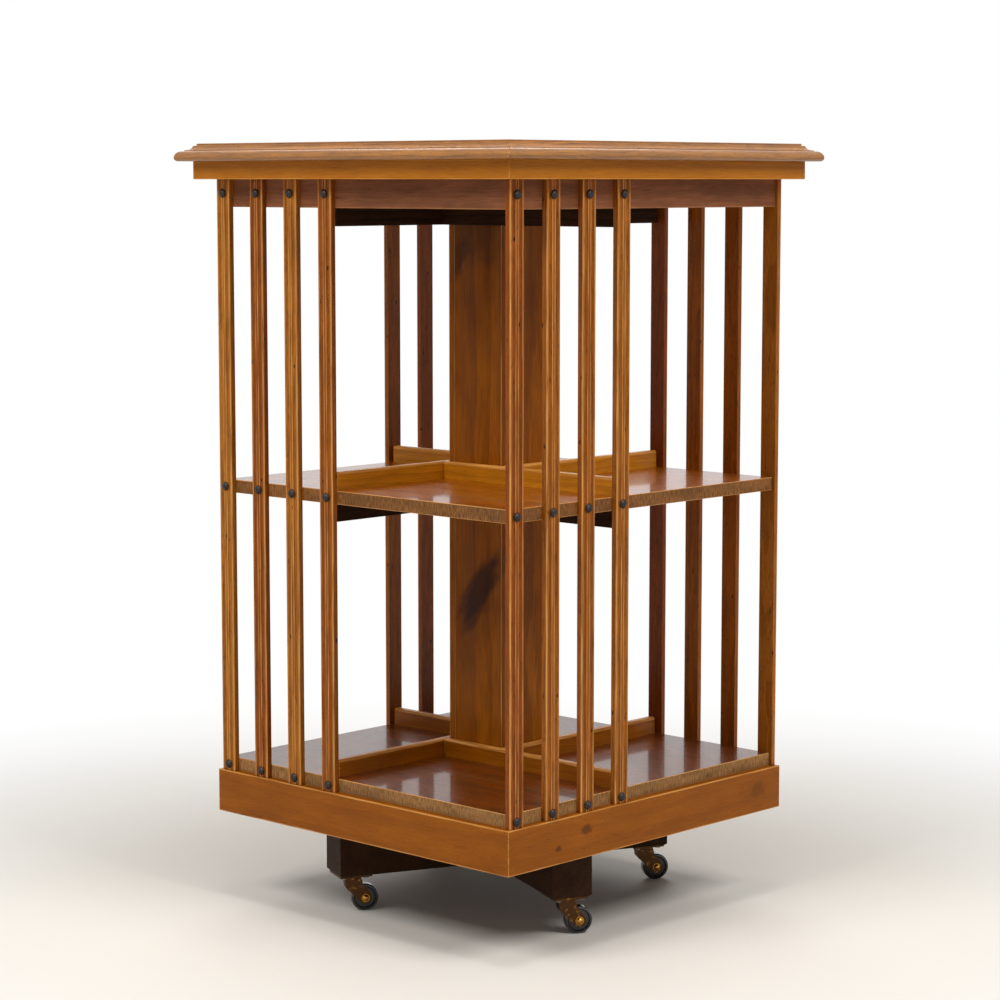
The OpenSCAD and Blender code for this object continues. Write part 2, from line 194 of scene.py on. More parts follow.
def eased(corners, radius, band, worn=()):
    """An outline with rubbed corners, as (x, y, wear) points.

    Wear is 1 on the corners listed in worn, or on all of them, and fades within band.
    """
    made = []
    count = len(corners)
    for i, corner in enumerate(corners):
        here = Vector(corner)
        before = Vector(corners[i - 1]) - here
        after = Vector(corners[(i + 1) % count]) - here
        half_turn = before.angle(after) / 2
        reach = min(radius / math.tan(half_turn), before.length * 0.3, after.length * 0.3)
        fade_b = min(band + reach, before.length * 0.45)
        fade_a = min(band + reach, after.length * 0.45)
        wear = 1.0 if not worn or i in worn else 0.0
        start, end = here + before.normalized() * reach, here + after.normalized() * reach
        made.append((*(here + before.normalized() * fade_b), 0.0))
        for t in (0, 0.5, 1):
            on = start.lerp(here, t).lerp(here.lerp(end, t), t)
            made.append((on.x, on.y, wear))
        made.append((*(here + after.normalized() * fade_a), 0.0))
    return made


def arc(centre, radii, start, stop, steps, wear=0.0):
    """Points on an elliptic arc, in degrees, with their wear."""
    made = []
    for i in range(steps + 1):
        a = math.radians(start + (stop - start) * i / steps)
        made.append((centre[0] + radii[0] * math.cos(a), centre[1] + radii[1] * math.sin(a), wear))
    return made


def inward(outline):
    """For each point of an outline, the unit direction into the wood."""
    area = sum(a[0] * b[1] - b[0] * a[1] for a, b in zip(outline, outline[1:] + outline[:1]))
    sign = 1 if area > 0 else -1
    made = []
    for i, (x, y, _) in enumerate(outline):
        a, b = outline[i - 1], outline[(i + 1) % len(outline)]
        edge = Vector((b[0] - a[0], b[1] - a[1]))
        if edge.length < 1e-9:
            edge = Vector((1, 0))
        edge.normalize()
        made.append(Vector((-edge.y, edge.x)) * sign)
    return made


def finish_piece(name, points, faces, grain, wear, tone, body, stands_for, materials,
                 face_materials=None, sharp=38):
    """Turns lists into one piece that rides on its body and stands for its CAD nodes."""
    mesh = bpy.data.meshes.new(name)
    mesh.from_pydata(points, [], faces)
    flat = [c for g in grain for c in g]
    mesh.attributes.new("grain", "FLOAT_VECTOR", "POINT").data.foreach_set("vector", flat)
    # Wear above 0 marks rubbed edges, painted as bare wood and on the slat arrises also as painted highlight;
    # below 0 it marks hollows, painted darker.
    mesh.attributes.new("wear", "FLOAT", "POINT").data.foreach_set("value", wear)
    mesh.attributes.new("tone", "FLOAT", "POINT").data.foreach_set("value", [tone] * len(points))
    for material in materials:
        mesh.materials.append(material)
    if face_materials:
        mesh.polygons.foreach_set("material_index", face_materials)
    mesh.update()
    mesh.shade_smooth()
    mesh.set_sharp_from_angle(angle=math.radians(sharp))
    piece = bpy.data.objects.new(name, mesh)
    bpy.context.scene.collection.objects.link(piece)
    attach(piece, body)
    if stands_for:
        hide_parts(*stands_for)
    return piece


def log_place(rng):
    """Where in its log a board was sawn: how far along, and how far from the pith."""
    return rng.uniform(-3, 3), rng.choice((-1, 1)) * rng.uniform(0.035, 0.11), rng.uniform(-0.03, 0.03)


class Run(NamedTuple):
    """A board, slat or moulding: an outline carried along a straight line."""
    outline: list
    place: Place
    ends: object  # a pair of lengths, or a function from an outline point to such a pair
    ease: float
    band: float
    steps: int = 6
    worn_ends: float = 1.0


def carry(run, log):
    """Points, faces, grain places and wear of a run."""
    into = inward(run.outline)
    get_ends = run.ends if callable(run.ends) else lambda point: run.ends
    spans = [get_ends(point) for point in run.outline]
    shares = [i / run.steps for i in range(1, run.steps)]
    rows = [("start", 0.0), ("start", run.ease * 0.3), ("start", run.ease), ("start", run.band)]
    rows += [("share", s) for s in shares]
    rows += [("stop", run.band), ("stop", run.ease), ("stop", run.ease * 0.3), ("stop", 0.0)]
    points, grain, wear = [], [], []
    for kind, value in rows:
        near_end = value if kind != "share" else run.band
        sink = run.ease * (1 - min(1, math.sqrt(max(0, 2 * near_end * run.ease - near_end ** 2))
                                   / run.ease)) if near_end < run.ease else 0.0
        end_wear = run.worn_ends * max(0.0, 1 - near_end / run.band)
        for (x, y, worn), direction, (start, stop) in zip(run.outline, into, spans):
            along = {"start": start + value, "stop": stop - value}.get(
                kind, start + (stop - start) * value)
            out, up = x + sink * direction.x, y + sink * direction.y
            points.append(run.place.point(along, out, up))
            grain.append((along + log[0], out + log[1], up + log[2]))
            wear.append(max(worn, end_wear))
    count = len(run.outline)
    faces = []
    for row in range(len(rows) - 1):
        for i in range(count):
            a, b = row * count + i, row * count + (i + 1) % count
            faces.append((a, a + count, b + count, b))
    faces.append(tuple(range(count)))
    faces.append(tuple(reversed(range((len(rows) - 1) * count, len(rows) * count))))
    area = sum(a[0] * b[1] - b[0] * a[1]
               for a, b in zip(run.outline, run.outline[1:] + run.outline[:1]))
    handed = run.place.out.cross(run.place.up).dot(run.place.along) * area
    if handed < 0:
        faces = [tuple(reversed(face)) for face in faces]
    return points, faces, grain, wear


def make_run(name, run, body, stands_for, materials, tone=None):
    """One board as one piece."""
    rng = rng_for(name)
    points, faces, grain, wear = carry(run, log_place(rng))
    shade = rng.random() if tone is None else tone
    return finish_piece(name, points, faces, grain, wear, shade, body, stands_for, materials)


def rectangle(x0, y0, x1, y1):
    return [(x0, y0), (x1, y0), (x1, y1), (x0, y1)]


def square_ring(name, outline, hole, body, stands_for, materials, edge_from):
    """A square board with a square hole: an outline of (outward, up, wear) carried round four corners.

    Faces that stand upright at edge_from or further out get the second material.
    """
    rng = rng_for(name)
    log = log_place(rng)
    ring = [(hole, outline[0][1], 0.0)] + outline + [(hole, outline[-1][1], 0.0)]
    corners = ((-1, -1), (1, -1), (1, 1), (-1, 1))
    points, grain, wear, faces, looks = [], [], [], [], []
    for sx, sy in corners:
        for out, up, worn in ring:
            points.append((sx * out, sy * out, up))
            grain.append((sx * out + log[0], sy * out + log[1], up + log[2]))
            wear.append(worn)
    count = len(ring)
    for c in range(4):
        for i in range(count):
            j = (i + 1) % count
            a, b = c * count, ((c + 1) % 4) * count
            faces.append((a + i, b + i, b + j, a + j))
            upright = abs(ring[i][0] - ring[j][0]) < abs(ring[i][1] - ring[j][1])
            looks.append(1 if upright and min(ring[i][0], ring[j][0]) >= edge_from else 0)
    return finish_piece(name, points, faces, grain, wear, rng.random(), body, stands_for,
                        materials, looks)


# ---------- materials ----------

def add(tree, kind, inputs=None, stops=None, **settings):
    """One node, with its settings, its ramp's stops and what feeds its inputs."""
    made = tree.nodes.new(kind)
    for key, value in settings.items():
        setattr(made, key, value)
    for key, value in (inputs or {}).items():
        if isinstance(value, bpy.types.NodeSocket):
            tree.links.new(value, made.inputs[key])
        else:
            made.inputs[key].default_value = value
    if stops:
        ramp = made.color_ramp.elements
        while len(ramp) < len(stops):
            ramp.new(0.5)
        for element, (position, value) in zip(ramp, stops):
            element.position, element.color = position, (*value, 1) if len(value) == 3 else value
    return made


def fresh_material(name):
    """A new material and its empty node tree."""
    material = bpy.data.materials.new(name)
    material.use_nodes = True
    material.node_tree.nodes.clear()
    return material, material.node_tree


def rgba(value):
    return (*value, 1)


class Knot(NamedTuple):
    """A dark swirl in a board: its centre and half sizes in metres, its tilt and its depth of colour."""
    centre: tuple
    half: tuple
    tilt: tuple
    depth: float


class Wood(NamedTuple):
    """What a sawn and lacquered wood shows. Spacings are real millimetres."""
    light: tuple
    dark: tuple
    ring_mm: float = 6.0      # spacing of the growth rings
    ring_depth: float = 0.55  # how much darker late wood is
    fibre_mm: float = 1.3     # spacing of the fibres, drawn coarser than real ones so that they show
    fibre_depth: float = 0.35
    pore_depth: float = 0.35  # dark open pores, as short dashes along the grain
    patch: float = 0.35       # slow changes of the stain
    wear: float = 0.6         # how far the edges are rubbed through; on the slats also painted highlight
    polish_and_shade: float = 0.75        # how dark the hollows are painted: old polish and painted shade
    speck: float = 0.0        # small bug holes and nicks
    roughness: float = 0.38
    shine: float = 0.08       # specular level under the lacquer
    coat: float = 0.08
    coat_roughness: float = 0.16
    bump_mm: float = 0.06
    second: tuple = None      # colour of boards with a high tone


def wood_material(name, wood, knots=(), placed=True):
    """Sawn wood, stained and lacquered by hand: rings and fibres run along the board, pores show as
    dark dashes, the rubbed edges show pale bare wood (also painted highlight on the slat arrises),
    and hollows are painted darker."""
    colours = bpy.context.scene.bookcase_colours
    material, tree = fresh_material(name)
    room = add(tree, "ShaderNodeTexCoord").outputs["Object"]
    place = add(tree, "ShaderNodeAttribute", attribute_name="grain").outputs["Vector"] if placed else room

    # Slow bends of the trunk, about 200 mm long and 12 mm wide.
    slow = add(tree, "ShaderNodeMapping", {"Vector": place, "Scale": (5, 28, 28)}).outputs[0]
    bends = add(tree, "ShaderNodeTexNoise", {"Vector": slow, "Scale": 1, "Detail": 2}).outputs["Color"]
    centred = add(tree, "ShaderNodeVectorMath", {0: bends, 1: (0.5, 0.5, 0.5)},
                  operation="SUBTRACT").outputs[0]
    shifts = add(tree, "ShaderNodeVectorMath", {0: centred, 1: (0, 0.02, 0.02)},
                 operation="MULTIPLY").outputs[0]
    bent = add(tree, "ShaderNodeVectorMath", {0: place, 1: shifts}, operation="ADD").outputs[0]

    # Growth rings: distance from the pith, lighter early wood turning to a sharp dark line.
    parts = add(tree, "ShaderNodeSeparateXYZ", {0: bent})
    across = add(tree, "ShaderNodeCombineXYZ", {1: parts.outputs[1], 2: parts.outputs[2]}).outputs[0]
    radius = add(tree, "ShaderNodeVectorMath", {0: across}, operation="LENGTH").outputs[1]
    turns = add(tree, "ShaderNodeMath", {0: radius, 1: 1 / (wood.ring_mm * MM)},
                operation="MULTIPLY").outputs[0]
    phase = add(tree, "ShaderNodeMath", {0: turns}, operation="FRACT").outputs[0]
    ring = add(tree, "ShaderNodeMapRange", {0: phase, 1: 0.35, 2: 0.93}, interpolation_type="SMOOTHSTEP")
    back = add(tree, "ShaderNodeMapRange", {0: phase, 1: 0.93, 2: 1.0, 3: 1, 4: 0},
               interpolation_type="SMOOTHSTEP")
    late = add(tree, "ShaderNodeMath", {0: ring.outputs[0], 1: back.outputs[0]},
               operation="MULTIPLY").outputs[0]

    # Fibres and pores, stretched along the grain.
    per_mm = 1 / MM
    thin = add(tree, "ShaderNodeMapping", {
        "Vector": bent, "Scale": (per_mm / 45, per_mm / wood.fibre_mm, per_mm / wood.fibre_mm)})
    fibre = add(tree, "ShaderNodeTexNoise", {"Vector": thin.outputs[0], "Scale": 1, "Detail": 3,
                                             "Roughness": 0.65}).outputs[0]
    fibres = add(tree, "ShaderNodeMapRange", {0: fibre, 1: 0.3, 2: 0.7}).outputs[0]
    dash = add(tree, "ShaderNodeMapping", {"Vector": bent, "Scale": (per_mm / 9, per_mm / 0.9, per_mm / 0.9)})
    pore = add(tree, "ShaderNodeTexNoise", {"Vector": dash.outputs[0], "Scale": 1, "Detail": 1}).outputs[0]
    pores = add(tree, "ShaderNodeMapRange", {0: pore, 1: 0.62, 2: 0.72}).outputs[0]

    # Stain that took unevenly, in patches of about 60 mm by 20 mm.
    cloud = add(tree, "ShaderNodeMapping", {"Vector": place, "Scale": (14, 45, 45)}).outputs[0]
    stain = add(tree, "ShaderNodeTexNoise", {"Vector": cloud, "Scale": 1, "Detail": 2}).outputs[0]
    patches = add(tree, "ShaderNodeMapRange", {0: stain, 1: 0.35, 2: 0.68}).outputs[0]

    # Colour: light to dark by ring, patch, fibre and pore.
    base = rgba(wood.light)
    if wood.second:
        tone = add(tree, "ShaderNodeAttribute", attribute_name="tone").outputs["Fac"]
        base = add(tree, "ShaderNodeMix", {0: tone, 6: rgba(wood.light), 7: rgba(wood.second)},
                   data_type="RGBA").outputs[2]
    share = add(tree, "ShaderNodeMath", {0: late, 1: wood.ring_depth}, operation="MULTIPLY").outputs[0]
    grained = add(tree, "ShaderNodeMix", {0: share, 6: base, 7: rgba(wood.dark)},
                  data_type="RGBA").outputs[2]
    share = add(tree, "ShaderNodeMath", {0: patches, 1: wood.patch}, operation="MULTIPLY").outputs[0]
    grained = add(tree, "ShaderNodeMix", {0: share, 6: grained, 7: rgba(wood.dark)},
                  data_type="RGBA").outputs[2]
    streak = add(tree, "ShaderNodeMapRange", {0: fibres, 3: 1 + wood.fibre_depth * 0.5,
                                              4: 1 - wood.fibre_depth}).outputs[0]
    grained = add(tree, "ShaderNodeMix", {0: 1.0, 6: grained, 7: streak}, data_type="RGBA",
                  blend_type="MULTIPLY").outputs[2]
    share = add(tree, "ShaderNodeMath", {0: pores, 1: wood.pore_depth}, operation="MULTIPLY").outputs[0]
    grained = add(tree, "ShaderNodeMix", {0: share, 6: grained, 7: rgba(colours.knot)},
                  data_type="RGBA").outputs[2]

    # Knots: dark hearts with streaks that run round them.
    for knot in knots:
        near = add(tree, "ShaderNodeMapping", {
            "Vector": room, "Location": knot.centre, "Rotation": knot.tilt, "Scale": knot.half},
            vector_type="TEXTURE").outputs[0]
        reach = add(tree, "ShaderNodeVectorMath", {0: near}, operation="LENGTH").outputs[1]
        swirl = add(tree, "ShaderNodeTexNoise", {"Vector": near, "Scale": 2.2, "Detail": 3}).outputs[0]
        ragged = add(tree, "ShaderNodeMath", {0: swirl, 1: 0.8, 2: reach},
                     operation="MULTIPLY_ADD").outputs[0]
        heart = add(tree, "ShaderNodeMapRange", {0: ragged, 1: 1.5, 2: 0.8, 3: 0, 4: knot.depth},
                    interpolation_type="SMOOTHSTEP").outputs[0]
        grained = add(tree, "ShaderNodeMix", {0: heart, 6: grained, 7: rgba(colours.knot)},
                      data_type="RGBA").outputs[2]

    # Bug holes and nicks, each about 1.5 mm across and some 60 mm apart.
    if wood.speck:
        cells = add(tree, "ShaderNodeMapping", {"Vector": place, "Scale": (24, 60, 60)}).outputs[0]
        hole = add(tree, "ShaderNodeTexVoronoi", {"Vector": cells, "Scale": 1}).outputs[0]
        specks = add(tree, "ShaderNodeMapRange", {0: hole, 1: 0.08, 2: 0.05, 3: 0, 4: wood.speck}).outputs[0]
        grained = add(tree, "ShaderNodeMix", {0: specks, 6: grained, 7: rgba(colours.knot)},
                      data_type="RGBA").outputs[2]

    # Edges rubbed through to bare wood, unevenly; on the slat arrises this pale colour is also painted
    # highlight.
    if placed and wood.wear:
        edge = add(tree, "ShaderNodeAttribute", attribute_name="wear").outputs["Fac"]
        chafe = add(tree, "ShaderNodeMapping", {"Vector": place, "Scale": (22, 500, 500)}).outputs[0]
        uneven = add(tree, "ShaderNodeTexNoise", {"Vector": chafe, "Scale": 1, "Detail": 3}).outputs[0]
        rubbed = add(tree, "ShaderNodeMath", {0: edge, 1: uneven}, operation="MULTIPLY").outputs[0]
        bared_and_glint = add(tree, "ShaderNodeMapRange", {0: rubbed, 1: 0.24, 2: 0.56, 3: 0, 4: wood.wear}).outputs[0]
        grained = add(tree, "ShaderNodeMix", {0: bared_and_glint, 6: grained, 7: rgba(colours.bare)},
                      data_type="RGBA").outputs[2]

        # Hollows, where the wear attribute is below 0, painted darker: old polish and painted shade in the slat
        # flutes, darker steps and top line on the moulding.
        polish_and_shade_hollow = add(tree, "ShaderNodeMapRange", {0: edge, 1: 0, 2: -1, 3: 0, 4: wood.polish_and_shade}).outputs[0]
        grained = add(tree, "ShaderNodeMix", {0: polish_and_shade_hollow, 6: grained, 7: rgba(colours.knot)},
                      data_type="RGBA").outputs[2]

    dull = add(tree, "ShaderNodeMapRange", {0: fibres, 3: wood.roughness - 0.06,
                                            4: wood.roughness + 0.08}).outputs[0]
    relief = add(tree, "ShaderNodeMath", {0: pores, 1: -1.5, 2: fibres}, operation="MULTIPLY_ADD").outputs[0]
    bump = add(tree, "ShaderNodeBump", {"Strength": 1.0, "Distance": wood.bump_mm * MM, "Height": relief})
    shader = add(tree, "ShaderNodeBsdfPrincipled", {
        "Base Color": grained, "Roughness": dull, "Normal": bump.outputs[0], "IOR": 1.5,
        "Specular IOR Level": wood.shine, "Coat Weight": wood.coat, "Coat Roughness": wood.coat_roughness})
    add(tree, "ShaderNodeOutputMaterial", {0: shader.outputs[0]})
    return material


def raw_edge_material(name, light, dark):
    """Sawn edge of a veneered board, left rough: short upright fibres, dull and dusty."""
    material, tree = fresh_material(name)
    room = add(tree, "ShaderNodeTexCoord").outputs["Object"]
    per_mm = 1 / MM
    upright = add(tree, "ShaderNodeMapping", {
        "Vector": room, "Scale": (per_mm / 1.3, per_mm / 1.3, per_mm / 8)}).outputs[0]
    fibre = add(tree, "ShaderNodeTexNoise", {"Vector": upright, "Scale": 1, "Detail": 3,
                                             "Roughness": 0.7}).outputs[0]
    fibres = add(tree, "ShaderNodeMapRange", {0: fibre, 1: 0.33, 2: 0.66}).outputs[0]
    broad = add(tree, "ShaderNodeMapping", {"Vector": room, "Scale": (16, 16, 70)}).outputs[0]
    stain = add(tree, "ShaderNodeTexNoise", {"Vector": broad, "Scale": 1, "Detail": 2}).outputs[0]
    mixed = add(tree, "ShaderNodeMix", {0: fibres, 6: rgba(dark), 7: rgba(light)},
                data_type="RGBA").outputs[2]
    shade = add(tree, "ShaderNodeMapRange", {0: stain, 1: 0.3, 2: 0.7, 3: 0.72, 4: 1.15}).outputs[0]
    toned = add(tree, "ShaderNodeMix", {0: 1.0, 6: mixed, 7: shade}, data_type="RGBA",
                blend_type="MULTIPLY").outputs[2]
    edge = add(tree, "ShaderNodeAttribute", attribute_name="wear").outputs["Fac"]
    line = add(tree, "ShaderNodeMapRange", {0: edge, 1: 0.7, 2: 1.0, 3: 0, 4: 0.55}).outputs[0]
    bare = rgba(bpy.context.scene.bookcase_colours.bare)
    toned = add(tree, "ShaderNodeMix", {0: line, 6: toned, 7: bare}, data_type="RGBA").outputs[2]
    bump = add(tree, "ShaderNodeBump", {"Strength": 1.0, "Distance": 0.2 * MM, "Height": fibres})
    shader = add(tree, "ShaderNodeBsdfPrincipled", {
        "Base Color": toned, "Roughness": 0.72, "Normal": bump.outputs[0], "Specular IOR Level": 0.25})
    add(tree, "ShaderNodeOutputMaterial", {0: shader.outputs[0]})
    return material


def aged_metal_material(name, clean, aged, clean_share, roughness, spot_mm, bump_mm=0.05):
    """Cast or turned metal that has darkened: the colour wanders between clean metal and its
    tarnish in spots, and the darker spots are rougher."""
    material, tree = fresh_material(name)
    room = add(tree, "ShaderNodeTexCoord").outputs["Object"]
    spots = add(tree, "ShaderNodeTexNoise", {"Vector": room, "Scale": 1 / (spot_mm * MM), "Detail": 4,
                                             "Roughness": 0.6}).outputs[0]
    bright = add(tree, "ShaderNodeMapRange", {0: spots, 1: 0.75 - clean_share * 0.5,
                                              2: 0.95 - clean_share * 0.5}).outputs[0]
    mixed = add(tree, "ShaderNodeMix", {0: bright, 6: rgba(aged), 7: rgba(clean)},
                data_type="RGBA").outputs[2]
    dull = add(tree, "ShaderNodeMapRange", {0: bright, 3: roughness + 0.15, 4: roughness}).outputs[0]
    fine = add(tree, "ShaderNodeTexNoise", {"Vector": room, "Scale": 1 / (0.9 * MM), "Detail": 2}).outputs[0]
    bump = add(tree, "ShaderNodeBump", {"Strength": 0.6, "Distance": bump_mm * MM, "Height": fine})
    shader = add(tree, "ShaderNodeBsdfPrincipled", {
        "Base Color": mixed, "Metallic": 1.0, "Roughness": dull, "Normal": bump.outputs[0]})
    add(tree, "ShaderNodeOutputMaterial", {0: shader.outputs[0]})
    return material


def wheel_material(name, black):
    """Black glazed stoneware wheel: deep gloss with a little dust."""
    material, tree = fresh_material(name)
    room = add(tree, "ShaderNodeTexCoord").outputs["Object"]
    dust = add(tree, "ShaderNodeTexNoise", {"Vector": room, "Scale": 1 / (4 * MM), "Detail": 4}).outputs[0]
    dusty = add(tree, "ShaderNodeMapRange", {0: dust, 1: 0.45, 2: 0.8, 3: 0, 4: 0.12}).outputs[0]
    grey = rgba(linear("#6b645c"))
    mixed = add(tree, "ShaderNodeMix", {0: dusty, 6: rgba(black), 7: grey}, data_type="RGBA").outputs[2]
    dull = add(tree, "ShaderNodeMapRange", {0: dust, 1: 0.4, 2: 0.75, 3: 0.14, 4: 0.34}).outputs[0]
    shader = add(tree, "ShaderNodeBsdfPrincipled", {
        "Base Color": mixed, "Roughness": dull, "IOR": 1.54, "Coat Weight": 0.4, "Coat Roughness": 0.06})
    add(tree, "ShaderNodeOutputMaterial", {0: shader.outputs[0]})
    return material


# ---------- operators ----------

class BOOKCASE_OT_plinth(bpy.types.Operator):
    """Four mitred plinth boards in figured veneer"""
    bl_idname = "bookcase.plinth"
    bl_label = "Plinth boards"
    bl_options = {"REGISTER", "UNDO"}

    def execute(self, context):
        sizes, colours = context.scene.bookcase_sizes, context.scene.bookcase_colours
        lo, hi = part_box("plinth_board_front")
        outer, inner = -lo.y, -hi.y
        # Fruitwood veneer, stained and French polished: a slow, low-contrast figure under a satin gloss,
        # with fine pores and small burrs on the right-hand board.
        figure = Wood(colours.veneer_light, colours.veneer_dark, ring_mm=15, ring_depth=0.18,
                      fibre_depth=0.14, pore_depth=0.3, patch=0.35, wear=0.7)
        plain = wood_material("plinth_veneer", figure)
        burrs = [
            Knot((outer, -0.107, (lo.z + hi.z) / 2 + 0.006), (0.02, 0.011, 0.007), (0, 0, 0), 0.55),
            Knot((outer, -0.152, lo.z + 0.017), (0.02, 0.006, 0.004), (0, 0, 0), 0.6),
            Knot((outer, 0.19, lo.z + 0.026), (0.02, 0.016, 0.012), (0, 0, 0), 0.3),
        ]
        burred = wood_material("plinth_burr_veneer", figure, burrs)
        outline = eased(rectangle(inner, lo.z, outer, hi.z), sizes.arris * 1.6, sizes.wear_band, (1, 2))
        for side in SIDES:
            run = Run(outline, level_run(side), mitre(sizes.seam), 0.15 * MM, sizes.wear_band)
            name = f"plinth_board_{side}"
            make_run(name + "_finished", run, "case", [name],
                     [burred if side == "right" else plain])
        return {"FINISHED"}


def mitre(seam):
    """Ends of a run whose corners meet on the diagonal, less half the open seam."""
    return lambda point: (-point[0] + seam, point[0] - seam)


class BOOKCASE_OT_top(bpy.types.Operator):
    """Top board, top moulding with its brad holes, and fascia"""
    bl_idname = "bookcase.top"
    bl_label = "Top, moulding and fascia"
    bl_options = {"REGISTER", "UNDO"}

    def execute(self, context):
        sizes, colours = context.scene.bookcase_sizes, context.scene.bookcase_colours
        # Top: figured fruitwood veneer, polished brighter than the sides. Fascia: plain sawn fruitwood, satin.
        # Moulding: open-pored walnut, planed and polished, so its coves catch long highlights; its steps
        # and the thin line along its top edge are painted darker.
        veneer = wood_material("top_veneer", Wood(
            colours.veneer_light, colours.veneer_dark, ring_mm=12, ring_depth=0.45, fibre_depth=0.2,
            pore_depth=0.25, patch=0.35, wear=0.35, coat=0.5, coat_roughness=0.12))
        fascia = wood_material("fascia_wood", Wood(
            colours.fascia_light, colours.fascia_dark, ring_mm=18, ring_depth=0.15, fibre_depth=0.14,
            pore_depth=0.15, patch=0.25, wear=0.5))
        moulding = wood_material("moulding_wood", Wood(
            colours.moulding_light, colours.moulding_dark, ring_mm=5, ring_depth=0.35, fibre_depth=0.4,
            pore_depth=0.5, patch=0.3, wear=0.35, roughness=0.3, shine=0.4, coat=0.3, coat_roughness=0.2))
        lo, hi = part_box("top_board")
        outline = eased(rectangle(-hi.y, lo.z, hi.y, hi.z), 0.3 * MM, sizes.wear_band)
        run = Run(outline, level_run("front"), (lo.x + sizes.seam, hi.x - sizes.seam), 0.3 * MM,
                  sizes.wear_band)
        make_run("top_board_finished", run, "case", ["top_board"], [veneer])
        for side in SIDES:
            name = f"top_moulding_{side}"
            run = Run(self.moulding_outline(), level_run(side), mitre(sizes.seam), 0.12 * MM,
                      1.0 * MM, worn_ends=0.4)
            make_run(name + "_finished", run, "case", [name], [moulding])
        lo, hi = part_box("fascia_boards")
        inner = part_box("frieze_boards")[1].x
        outline = eased(rectangle(inner, lo.z, hi.x, hi.z), sizes.arris, sizes.wear_band, (1, 2))
        for side in SIDES:
            run = Run(outline, level_run(side), mitre(sizes.seam), 0.15 * MM, sizes.wear_band)
            make_run(f"fascia_board_{side}_finished", run, "case", ["fascia_boards"],
                     [fascia])

        self.brads(sizes, colours)
        return {"FINISHED"}

    def brads(self, sizes, colours):
        """Filled brad holes: low dark domes in the cove of each moulding, three to a side."""
        # Rusted iron brad heads, punched below the surface: small, dark and dull.
        filling = aged_metal_material("brad_filling", colours.tarnish, linear("#120b06"), 0.1, 0.7, 2.0)
        lo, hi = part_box("top_moulding_front")
        cove_out, cove_up, out, up = -lo.y - 13.45 * MM, hi.z - 6.04 * MM, 0.58, 0.81
        spokes = 10
        points, faces = [], []
        for side in SIDES:
            place = level_run(side)
            for share in (-0.9, 0.01, 0.83):
                start = len(points)
                for s in range(spokes):
                    a = 2 * math.pi * s / spokes
                    slide, along = sizes.brad_r * math.cos(a), sizes.brad_r * math.sin(a)
                    points.append(place.point(share * -lo.y + along, cove_out + slide * up - 0.1 * MM * out,
                                              cove_up - slide * out - 0.1 * MM * up))
                points.append(place.point(share * -lo.y, cove_out + 0.2 * MM * out, cove_up + 0.2 * MM * up))
                faces += [(start + s, start + (s + 1) % spokes, start + spokes) for s in range(spokes)]
                faces.append(tuple(start + s for s in reversed(range(spokes))))
        blank = [(0.0, 0.0, 0.0)] * len(points)
        finish_piece("brad_holes_finished", points, faces, blank, [0.0] * len(points), 0.5, "case", [],
                     [filling], sharp=60)

    def moulding_outline(self):
        """Flat edge, step, cove, step and rounded nose, seen from the end."""
        lo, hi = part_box("top_moulding_front")
        nose = -lo.y
        back = -hi.y
        top = hi.z
        under = lo.z
        nose_low, bead_high, cove_top = under + 4 * MM, top - 8.5 * MM, top - 2.5 * MM
        # The third number is wear: above 0 painted as rubbed bare wood, below 0 painted darker, in the steps
        # and along the top edge.
        return (
            [(back, under, 0.0)]
            + arc((nose - 4 * MM, nose_low), (4 * MM, 4 * MM), -90, 0, 6, 0.2)
            + arc((nose - 7 * MM, nose_low), (7 * MM, bead_high - nose_low), 8, 84, 7, 0.2)
            + [(nose - 7 * MM, bead_high, 0.8), (nose - 8.1 * MM, bead_high + 0.1 * MM, -1.0),
               (nose - 8.5 * MM, bead_high + 0.4 * MM, -0.6)]
            + arc((nose - 8.5 * MM, cove_top), (7 * MM, 5 * MM), -90, -178, 8, 0.0)
            + [(nose - 15.7 * MM, cove_top, 1.0), (nose - 18.1 * MM, cove_top + 0.05 * MM, -0.8),
               (nose - 18.5 * MM, cove_top + 0.4 * MM, -0.2), (nose - 18.5 * MM, top - 1.3 * MM, 0.0),
               (nose - 18.5 * MM, top - 0.9 * MM, -1.0), (nose - 18.5 * MM, top - 0.4 * MM, -1.0),
               (nose - 18.9 * MM, top, -1.0), (nose - 20.5 * MM, top, -0.4), (back, top, 0.0)]
        )


class BOOKCASE_OT_frieze(bpy.types.Operator):
    """Dark frieze boards and the top shelf behind them"""
    bl_idname = "bookcase.frieze"
    bl_label = "Frieze and top shelf"
    bl_options = {"REGISTER", "UNDO"}

    def execute(self, context):
        sizes, colours = context.scene.bookcase_sizes, context.scene.bookcase_colours
        # Stained mahogany, oiled and not polished: a dull, dark red-brown with soft figure.
        dark = wood_material("frieze_wood", Wood(
            colours.frieze_light, colours.frieze_dark, ring_mm=9, ring_depth=0.15, fibre_depth=0.25,
            pore_depth=0.3, patch=0.45, wear=0.3, roughness=0.5, coat=0.0, shine=0.1))
        lo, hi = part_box("frieze_boards")
        shelf_lo, shelf_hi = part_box("top_shelf")
        outline = eased(rectangle(shelf_hi.x, lo.z, hi.x, hi.z), sizes.arris, sizes.wear_band, (1,))
        for side in SIDES:
            run = Run(outline, level_run(side), mitre(sizes.seam), 0.15 * MM, sizes.wear_band)
            make_run(f"frieze_board_{side}_finished", run, "case", ["frieze_boards"],
                     [dark])
        outline = eased(rectangle(-shelf_hi.y, shelf_lo.z, shelf_hi.y, shelf_hi.z), 0.3 * MM,
                        sizes.wear_band)
        run = Run(outline, level_run("front"), (shelf_lo.x, shelf_hi.x), 0.3 * MM, sizes.wear_band)
        make_run("top_shelf_finished", run, "case", ["top_shelf"], [dark])
        return {"FINISHED"}


